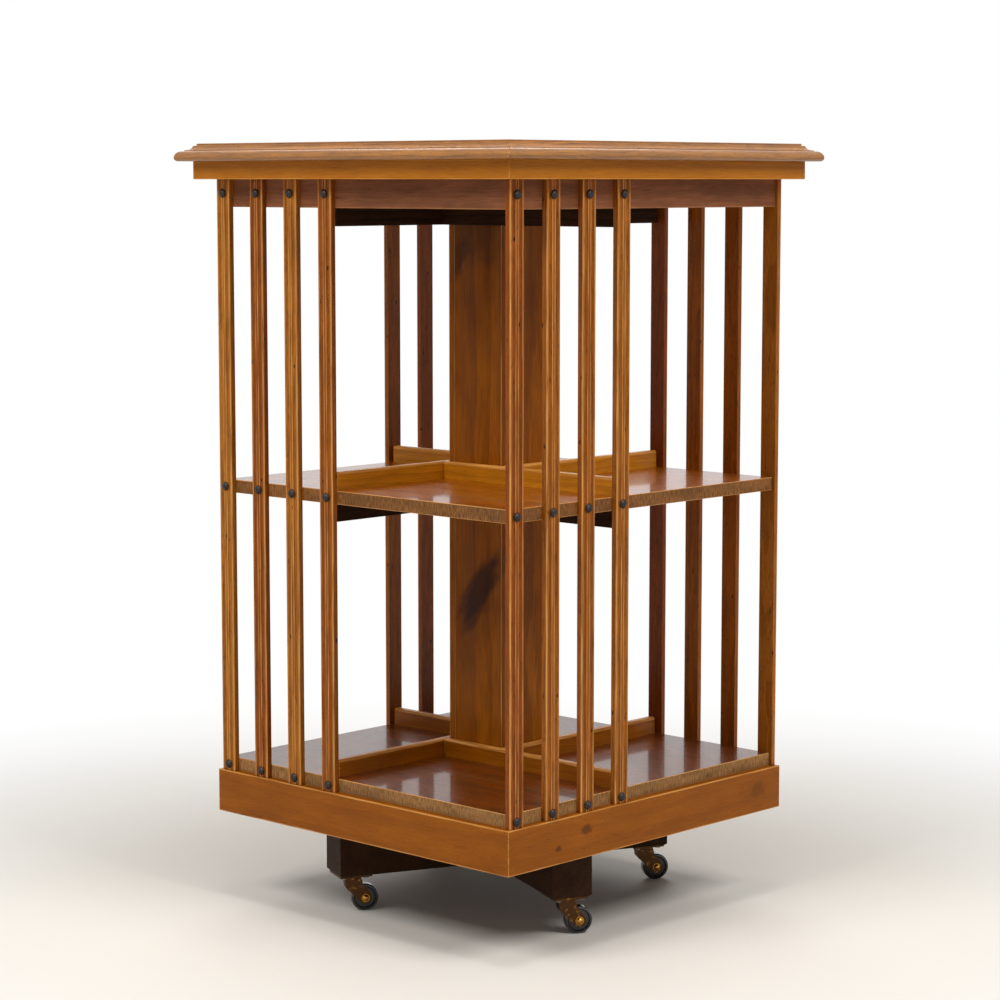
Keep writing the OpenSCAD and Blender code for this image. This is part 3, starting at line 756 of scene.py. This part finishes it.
class BOOKCASE_OT_shelves(bpy.types.Operator):
    """Middle and lower shelf: glossy veneer with raw sawn edges"""
    bl_idname = "bookcase.shelves"
    bl_label = "Shelves"
    bl_options = {"REGISTER", "UNDO"}

    def execute(self, context):
        sizes, colours = context.scene.bookcase_sizes, context.scene.bookcase_colours
        # Mahogany veneer under many coats of shellac: deep colour and mirror-like reflections. The lower
        # shelf is painted darker, as painted shade under the middle shelf. Both show their sawn edges, left
        # raw.
        veneer = wood_material("shelf_veneer", Wood(
            colours.shelf_light, colours.shelf_dark, ring_mm=20, ring_depth=0.4, fibre_depth=0.15,
            pore_depth=0.2, patch=0.5, wear=0.8, roughness=0.3, coat=0.6, coat_roughness=0.07,
            bump_mm=0.02))
        # A darker copy of the shelf veneer for the lower shelf: painted shade under the middle shelf.
        shaded_low_veneer = wood_material("shaded_lower_shelf_veneer", Wood(
            colours.shelf_dark, colours.batten_light, ring_mm=20, ring_depth=0.3, fibre_depth=0.15,
            pore_depth=0.2, patch=0.5, wear=0.8, roughness=0.3, coat=0.5, coat_roughness=0.07,
            bump_mm=0.02))
        lower_edge = raw_edge_material("lower_shelf_edge", colours.edge_light, colours.edge_dark)
        mid_edge = raw_edge_material("mid_shelf_edge", linear("#9a6634"), linear("#54300c"))
        holes = {"lower_shelf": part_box("pivot_post")[1].x + 0.4 * MM,
                 "mid_shelf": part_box("column_board_right")[1].x + 0.1 * MM}
        for node, top, edge in (("lower_shelf", shaded_low_veneer, lower_edge), ("mid_shelf", veneer, mid_edge)):
            lo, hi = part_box(node)
            outline = [
                (hi.x - sizes.wear_band, lo.z, 0.0), (hi.x - sizes.arris, lo.z, 1.0),
                (hi.x, lo.z + sizes.arris, 1.0), (hi.x, lo.z + 2 * MM, 0.0),
                (hi.x, hi.z - 2 * MM, 0.0), (hi.x, hi.z - sizes.arris, 1.0),
                (hi.x - sizes.arris, hi.z, 1.0), (hi.x - sizes.wear_band, hi.z, 0.0)]
            square_ring(node + "_finished", outline, holes[node], "case", [node],
                        [top, edge], hi.x - sizes.arris * 0.5)
        return {"FINISHED"}


class BOOKCASE_OT_rails(bpy.types.Operator):
    """Book rails on the shelves and battens under them, in a pinwheel round the column"""
    bl_idname = "bookcase.rails"
    bl_label = "Rails and battens"
    bl_options = {"REGISTER", "UNDO"}

    def execute(self, context):
        sizes, colours = context.scene.bookcase_sizes, context.scene.bookcase_colours
        # Rails: pale hardwood, planed and shellacked, with rounded tops rubbed to bright lines; the lower ones
        # are painted darker, as painted shade of the lower tier. Battens: rough stained softwood that shows
        # nearly black.
        rail = wood_material("rail_wood", Wood(
            colours.rail_light, colours.rail_dark, ring_mm=9, ring_depth=0.25, fibre_depth=0.2,
            pore_depth=0.2, patch=0.3, wear=0.85, coat=0.15, coat_roughness=0.15))
        # A darker copy for the lower rails: painted shade of the lower tier.
        shaded_low_rail = wood_material("shaded_lower_rail_wood", Wood(
            colours.veneer_light, colours.veneer_dark, ring_mm=9, ring_depth=0.25, fibre_depth=0.2,
            pore_depth=0.2, patch=0.4, wear=0.8, coat=0.12, coat_roughness=0.15))
        batten = wood_material("batten_wood", Wood(
            colours.batten_light, colours.batten_dark, ring_mm=10, ring_depth=0.5, fibre_depth=0.4,
            pore_depth=0.4, patch=0.5, wear=0.12, roughness=0.7, coat=0.0, shine=0.08))
        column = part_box("column_board_right")[1].x
        for node, look, slot in (("upper_book_rails", rail, "rail_wood"),
                                 ("lower_book_rails", shaded_low_rail, "rail_wood"),
                                 ("top_battens", batten, "batten_wood"),
                                 ("mid_battens", batten, "batten_wood")):
            lo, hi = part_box(node)
            outer = self.bar_thickness(node, column)
            rounded = 2.6 * MM if "rails" in node else sizes.arris
            outline = eased([(column, lo.z), (outer, lo.z), (outer, hi.z), (column, hi.z)],
                            sizes.arris, sizes.wear_band, (2, 3))
            if "rails" in node:
                top = hi.z - rounded
                outline = ([(column, lo.z, 0.0), (outer, lo.z, 0.0), (outer, top - 2 * MM, 0.0)]
                           + arc((outer - rounded, top), (rounded, rounded), 0, 90, 5, 0.75)
                           + arc((column + rounded, top), (rounded, rounded), 90, 180, 5, 0.75)
                           + [(column, top - 2 * MM, 0.0)])
            for side in SIDES:
                run = Run(outline, level_run(side), (-column, hi.x), 1.2 * MM, 3 * MM)
                make_run(f"{node[:-1]}_{side}_finished", run, "case", [node], [look])
        return {"FINISHED"}

    def bar_thickness(self, node, column):
        """Outer side of the front bar: the level of the vertices that lie just past the column."""
        reach = [-v.co.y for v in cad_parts[node].data.vertices
                 if abs(v.co.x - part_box(node)[1].x) < 1e-5 and v.co.y < -column + 1e-5]
        return max(reach)


class BOOKCASE_OT_column(bpy.types.Operator):
    """Four boards of the hollow column"""
    bl_idname = "bookcase.column"
    bl_label = "Column boards"
    bl_options = {"REGISTER", "UNDO"}

    def execute(self, context):
        sizes, colours = context.scene.bookcase_sizes, context.scene.bookcase_colours
        # Pine boards, stained and polished: fine upright grain with large dark knots.
        grain = Wood(colours.column_light, colours.column_dark, ring_mm=16, ring_depth=0.4,
                     fibre_depth=0.3, pore_depth=0.15, patch=0.45, wear=0.5, coat=0.08,
                     coat_roughness=0.12)
        plain = wood_material("column_wood", grain)
        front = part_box("column_board_front")
        face = front[0].y
        # A large dark knot in the lower tier of the front board, and a smaller one near its head.
        knots = [
            Knot((0.006, face, 0.36), (0.023, 0.03, 0.068), (0, math.radians(33), 0), 0.88),
            Knot((-0.030, face, 0.735), (0.016, 0.03, 0.036), (0, math.radians(30), 0), 0.6),
            Knot((0.0, face, 0.775), (0.06, 0.03, 0.05), (0, math.radians(20), 0), 0.5),
        ]
        knotted = wood_material("column_wood_knotted", grain, knots)
        for side in SIDES:
            name = f"column_board_{side}"
            half = -front[0].y
            thick = front[1].y - front[0].y
            outline = eased([(half - thick, front[0].x), (half, front[0].x), (half, front[1].x),
                             (half - thick, front[1].x)], sizes.arris, sizes.wear_band, (1, 2))
            place = upright_run(side, 0, 0)
            run = Run(outline, place, (front[0].z, front[1].z), sizes.arris, sizes.wear_band)
            make_run(name + "_finished", run, "case", [name],
                     [knotted if side == "front" else plain])
        return {"FINISHED"}


class BOOKCASE_OT_slats(bpy.types.Operator):
    """Sixteen fluted slats with rubbed arrises"""
    bl_idname = "bookcase.slats"
    bl_label = "Slats"
    bl_options = {"REGISTER", "UNDO"}
    # How red the slats of each side are, from left to right: they were stained by hand from mixed boards.
    REDNESS = {"front": (0.05, 0.8, 0.15, 0.65), "right": (0.85, 0.5, 0.6, 0.35),
               "back": (0.3, 0.7, 0.5, 0.9), "left": (0.6, 0.2, 0.75, 0.4)}

    def execute(self, context):
        sizes, colours = context.scene.bookcase_sizes, context.scene.bookcase_colours
        # Fluted ash, stained and shellacked: open pores as short dark dashes, arrises rubbed to bare wood and
        # painted highlight as thin bright lines, old polish and painted shade dark in the flutes, and a few bug
        # holes.
        look = wood_material("slat_wood", Wood(
            colours.slat_light, colours.slat_dark, ring_mm=4.5, ring_depth=0.35, fibre_mm=1.0,
            fibre_depth=0.35, pore_depth=0.6, patch=0.3, wear=0.8, speck=0.95, roughness=0.4,
            coat=0.12, coat_roughness=0.2, bump_mm=0.05, second=colours.slat_red))
        for side in SIDES:
            for n in SLATS:
                lo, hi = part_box(f"slat_front_{n}")
                centre, back = (lo.x + hi.x) / 2, -hi.y
                outline = self.slat_outline(hi.x - lo.x, hi.y - lo.y, sizes)
                name = f"slat_{side}_{n}"
                run = Run(outline, upright_run(side, centre, back), (lo.z, hi.z), 0.5 * MM,
                          2.5 * MM, steps=24, worn_ends=0.5)
                make_run(name + "_finished", run, "case", [name], [look],
                         tone=self.REDNESS[side][n - 1])
        return {"FINISHED"}

    def slat_outline(self, width, thick, sizes):
        """Flat back against the shelves, small flats at the edges, two flutes in the face."""
        half, r = width / 2, sizes.flute_r
        middle = thick + r - sizes.flute_depth
        spread = math.degrees(math.acos((middle - thick) / r))
        mouth = r * math.sin(math.radians(spread))
        # Wear above 0 on the arrises is painted as bare wood and painted highlight; below 0 in the flutes it is
        # painted darker, as old polish and painted shade.
        made = [(0.0, -half, 0.0), (0.0, half, 0.0), (thick - 2.2 * MM, half, 0.15)]
        made += [(thick - 1.0 * MM, half, 1.0), (thick - 0.35 * MM, half - 0.3 * MM, 1.0),
                 (thick, half - 0.9 * MM, 1.0)]
        for at in (width / 4, -width / 4):
            flat = (half - 0.9 * MM + at + mouth) / 2 if at > 0 else 0.0
            made.append((thick, flat, 0.05))
            made += [(thick, at + mouth + 0.25 * MM, 0.9), (thick - 0.12 * MM, at + mouth - 0.1 * MM, 0.8)]
            for i in range(1, 8):
                a = math.radians(spread - 2 * spread * i / 8)
                made.append((middle - r * math.cos(a), at + r * math.sin(a), -0.85 * math.sin(math.pi * i / 8)))
            made += [(thick - 0.12 * MM, at - mouth + 0.1 * MM, 0.8), (thick, at - mouth - 0.25 * MM, 0.9)]
        made.append((thick, -(half - 0.9 * MM + width / 4 + mouth) / 2, 0.05))
        made += [(thick, 0.9 * MM - half, 1.0), (thick - 0.35 * MM, 0.3 * MM - half, 1.0),
                 (thick - 1.0 * MM, -half, 1.0), (thick - 2.2 * MM, -half, 0.15)]
        return made


class BOOKCASE_OT_studs(bpy.types.Operator):
    """Forty-eight domed studs with hammered heads"""
    bl_idname = "bookcase.studs"
    bl_label = "Studs"
    bl_options = {"REGISTER", "UNDO"}

    def execute(self, context):
        sizes, colours = context.scene.bookcase_sizes, context.scene.bookcase_colours
        # Cast brass heads, chemically bronzed: near black with a soft metal shine on the hammered dome.
        look = aged_metal_material("bronzed_stud", linear("#6a625c"), colours.bronze, 0.35, 0.32, 3.0, 0.08)
        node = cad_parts["slat_studs"]
        reach = -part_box("slat_studs")[0].y
        slat_face = -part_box("slat_front_1")[0].y
        rng = rng_for("slat_studs")
        points, faces = [], []
        for side in SIDES:
            for n in SLATS:
                lo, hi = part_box(f"slat_front_{n}")
                centre = (lo.x + hi.x) / 2
                for z, radius in self.stud_levels(node, slat_face, centre):
                    place = upright_run(side, centre, 0)
                    self.dome(points, faces, place, z, radius, slat_face, reach, sizes.dent, rng)
        blank = [(0.0, 0.0, 0.0)] * len(points)
        finish_piece("slat_studs_finished", points, faces, blank, [0.0] * len(points), 0.5, "case",
                     ["slat_studs"], [look], sharp=60)
        return {"FINISHED"}

    def stud_levels(self, node, slat_face, centre):
        """Heights and radii of the stud heads on one slat of the front, from the frame's own mesh."""
        rim = [v.co.copy() for v in node.data.vertices
               if abs(-v.co.y - slat_face) < 1e-5 and abs(v.co.x - centre) < 0.012]
        heights = sorted(v.z for v in rim)
        groups = [[heights[0]]]
        for z in heights[1:]:
            if z - groups[-1][-1] > 0.05:
                groups.append([])
            groups[-1].append(z)
        return [((g[0] + g[-1]) / 2, (g[-1] - g[0]) / 2) for g in groups]

    def dome(self, points, faces, place, z, radius, base, reach, dent, rng):
        """One head: a low dome of rings with a slightly uneven, hammered surface."""
        rings, spokes = 7, 20
        high = reach - base - dent
        lean = Vector((rng.uniform(-0.2, 0.2), rng.uniform(-0.2, 0.2))) * MM
        start = len(points)
        for r in range(rings):
            t = r / rings
            share = math.cos(t * math.pi / 2) ** 0.9
            lift = high * math.sin(t * math.pi / 2)
            for s in range(spokes):
                a = 2 * math.pi * s / spokes
                rough = rng.uniform(-1, 1) * dent * (0.35 if r else 0)
                along, right = radius * share * math.sin(a), radius * share * math.cos(a)
                points.append(place.point(z + along + lean.y * t, base + lift + rough, right + lean.x * t))
        points.append(place.point(z + lean.y, base + high, lean.x))
        top = len(points) - 1
        for r in range(rings - 1):
            for s in range(spokes):
                a, b = start + r * spokes + s, start + r * spokes + (s + 1) % spokes
                faces.append((a, a + spokes, b + spokes, b))
        last = start + (rings - 1) * spokes
        for s in range(spokes):
            faces.append((last + s, top, last + (s + 1) % spokes))
        faces.append(tuple(start + s for s in range(spokes)))


class BOOKCASE_OT_base(bpy.types.Operator):
    """Cross beams, turning gear and castors"""
    bl_idname = "bookcase.base"
    bl_label = "Base and castors"
    bl_options = {"REGISTER", "UNDO"}

    def execute(self, context):
        sizes, colours = context.scene.bookcase_sizes, context.scene.bookcase_colours
        # Cross: stained beech, unpolished and dark. Bearing block: plain sawn hardwood. Castors: stamped brass
        # gone brown, with clean axle caps. Post and screws: turned steel.
        beam = wood_material("cross_beam_wood", Wood(
            colours.batten_light, colours.batten_dark, ring_mm=12, ring_depth=0.15, fibre_mm=1.6,
            fibre_depth=0.3, pore_depth=0.2, patch=0.4, wear=0.0, roughness=0.55, coat=0.0,
            shine=0.08), placed=False)
        block = wood_material("block_wood", Wood(
            colours.moulding_light, colours.moulding_dark, ring_mm=6, coat=0.0, roughness=0.6,
            wear=0.0), placed=False)
        brass = aged_metal_material("castor_brass", colours.brass, colours.tarnish, 0.35, 0.3, 6.0)
        caps = aged_metal_material("axle_brass", colours.brass, colours.tarnish, 0.9, 0.2, 4.0)
        steel = aged_metal_material("turned_steel", colours.steel, linear("#4a4440"), 0.8, 0.3, 9.0)
        black = wheel_material("wheel_black", colours.wheel)
        looks = {"lower_cross_beam": beam, "upper_cross_beam": beam, "bearing_block": block,
                 "pivot_cup": caps, "lower_bush": caps, "pivot_post": steel, "post_flange": steel,
                 "base_screws": steel, "castor_plates": brass}
        for q in QUARTERS:
            looks[f"castor_fork_{q}"] = brass
            looks[f"castor_axle_{q}"] = caps
            looks[f"castor_wheel_{q}"] = black
        for name, look in looks.items():
            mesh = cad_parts[name].data
            mesh.materials.clear()
            mesh.materials.append(look)
        return {"FINISHED"}


class BOOKCASE_OT_stage(bpy.types.Operator):
    """Floor, camera, lamps and the pale surroundings"""
    bl_idname = "bookcase.stage"
    bl_label = "Stage"
    bl_options = {"REGISTER", "UNDO"}

    def execute(self, context):
        stage = context.scene.bookcase_stage
        self.camera(context, stage)
        self.floor(context, stage)
        self.lamps(context, stage)
        self.surroundings(context, stage)
        context.scene.view_settings.view_transform = "Standard"
        return {"FINISHED"}

    def camera(self, context, stage):
        data = bpy.data.cameras.new("camera")
        data.sensor_width, data.lens = 36, stage.lens
        camera = bpy.data.objects.new("camera", data)
        context.scene.collection.objects.link(camera)
        out = Vector((math.sin(stage.azimuth), -math.cos(stage.azimuth), 0))
        camera.location = out * stage.distance + UP * stage.height
        look = -out * math.cos(stage.pitch) - UP * math.sin(stage.pitch)
        camera.rotation_mode = "QUATERNION"
        camera.rotation_quaternion = look.to_track_quat("-Z", "Y")
        context.scene.camera = camera

    def floor(self, context, stage):
        """A large pale floor that fades to white away from the object."""
        rim, rings = 96, (0.4, 0.8, 1.6, 3.2, 12.0)
        points, faces = [(0, 0, 0)], []
        for r in rings:
            for s in range(rim):
                a = 2 * math.pi * s / rim
                points.append((r * math.cos(a), r * math.sin(a), 0))
        for s in range(rim):
            faces.append((0, 1 + s, 1 + (s + 1) % rim))
        for k in range(len(rings) - 1):
            for s in range(rim):
                a, b = 1 + k * rim + s, 1 + k * rim + (s + 1) % rim
                faces.append((a, a + rim, b + rim, b))
        mesh = bpy.data.meshes.new("floor")
        mesh.from_pydata(points, [], faces)
        material, tree = fresh_material("pale_floor")
        room = add(tree, "ShaderNodeTexCoord").outputs["Object"]
        away = add(tree, "ShaderNodeVectorMath", {0: room}, operation="LENGTH").outputs[1]
        fade = add(tree, "ShaderNodeMapRange", {0: away, 1: 0.42, 2: 1.3},
                   interpolation_type="SMOOTHSTEP").outputs[0]
        paint = add(tree, "ShaderNodeBsdfPrincipled", {"Base Color": rgba(stage.floor), "Roughness": 0.7,
                                                       "Specular IOR Level": 0.2})
        white = add(tree, "ShaderNodeEmission", {"Color": (1, 1, 1, 1), "Strength": 1.0})
        path = add(tree, "ShaderNodeLightPath")
        seen = add(tree, "ShaderNodeMath", {0: path.outputs["Is Camera Ray"],
                                            1: path.outputs["Is Glossy Ray"]}, operation="MAXIMUM").outputs[0]
        seen = add(tree, "ShaderNodeMath", {0: seen, 1: path.outputs["Is Transmission Ray"]},
                   operation="MAXIMUM").outputs[0]
        share = add(tree, "ShaderNodeMath", {0: fade, 1: seen}, operation="MULTIPLY").outputs[0]
        mixed = add(tree, "ShaderNodeMixShader", {0: share, 1: paint.outputs[0], 2: white.outputs[0]})
        add(tree, "ShaderNodeOutputMaterial", {0: mixed.outputs[0]})
        mesh.materials.append(material)
        floor = bpy.data.objects.new("floor", mesh)
        context.scene.collection.objects.link(floor)

    def lamps(self, context, stage):
        """Two large soft lamps, one before each shown face, a weaker one above and one behind."""
        target = Vector((0, 0, 0.5))
        for name, azimuth, height, away, size, power in (
                ("lamp_left", -4, 2.7, 2.3, 1.2, stage.key),
                ("lamp_right", 92, 2.7, 2.3, 1.2, stage.key),
                ("lamp_top", 43, 3.2, 0.6, 1.0, stage.key * 0.45),
                ("lamp_back", 225, 2.4, 3.0, 1.6, stage.key * 0.5)):
            data = bpy.data.lights.new(name, "AREA")
            data.shape, data.size, data.energy = "SQUARE", size, power
            lamp = bpy.data.objects.new(name, data)
            a = math.radians(azimuth)
            lamp.location = (away * math.sin(a), -away * math.cos(a), height)
            lamp.rotation_mode = "QUATERNION"
            lamp.rotation_quaternion = (target - lamp.location).to_track_quat("-Z", "Y")
            context.scene.collection.objects.link(lamp)

    def surroundings(self, context, stage):
        """White where it is seen or mirrored, and a plain soft light everywhere else."""
        world = bpy.data.worlds.new("surroundings")
        context.scene.world = world
        world.use_nodes = True
        tree = world.node_tree
        tree.nodes.clear()
        path = add(tree, "ShaderNodeLightPath")
        seen = add(tree, "ShaderNodeMath", {0: path.outputs["Is Camera Ray"],
                                            1: path.outputs["Is Glossy Ray"]}, operation="MAXIMUM").outputs[0]
        seen = add(tree, "ShaderNodeMath", {0: seen, 1: path.outputs["Is Transmission Ray"]},
                   operation="MAXIMUM").outputs[0]
        strength = add(tree, "ShaderNodeMapRange", {0: seen, 3: stage.ambient, 4: 1.0}).outputs[0]
        sky = add(tree, "ShaderNodeBackground", {"Color": (1, 1, 1, 1), "Strength": strength})
        add(tree, "ShaderNodeOutputWorld", {0: sky.outputs[0]})


class BOOKCASE_PT_panel(bpy.types.Panel):
    """Sizes, colours and steps of the bookcase"""
    bl_idname = "BOOKCASE_PT_panel"
    bl_label = "Revolving bookcase"
    bl_space_type = "VIEW_3D"
    bl_region_type = "UI"
    bl_category = "Bookcase"

    def draw(self, context):
        for group in (context.scene.bookcase_sizes, context.scene.bookcase_colours,
                      context.scene.bookcase_stage):
            box = self.layout.box()
            for key in group.__annotations__:
                box.prop(group, key)
        for step in STEPS:
            self.layout.operator(step.bl_idname)


STEPS = (BOOKCASE_OT_stage, BOOKCASE_OT_plinth, BOOKCASE_OT_top, BOOKCASE_OT_frieze,
         BOOKCASE_OT_shelves, BOOKCASE_OT_rails, BOOKCASE_OT_column, BOOKCASE_OT_slats,
         BOOKCASE_OT_studs, BOOKCASE_OT_base)
GROUPS = {"bookcase_sizes": BookcaseSizes, "bookcase_colours": BookcaseColours,
          "bookcase_stage": BookcaseStage}


def register():
    for group in (*GROUPS.values(), *STEPS, BOOKCASE_PT_panel):
        bpy.utils.register_class(group)
    for key, group in GROUPS.items():
        setattr(bpy.types.Scene, key, bpy.props.PointerProperty(type=group))


def unregister():
    for key in GROUPS:
        delattr(bpy.types.Scene, key)
    for group in reversed((*GROUPS.values(), *STEPS, BOOKCASE_PT_panel)):
        bpy.utils.unregister_class(group)


def main():
    register()
    bpy.ops.bookcase.stage()
    bpy.ops.bookcase.plinth()
    bpy.ops.bookcase.top()
    bpy.ops.bookcase.frieze()
    bpy.ops.bookcase.shelves()
    bpy.ops.bookcase.rails()
    bpy.ops.bookcase.column()
    bpy.ops.bookcase.slats()
    bpy.ops.bookcase.studs()
    bpy.ops.bookcase.base()


if __name__ == "__main__":
    main()
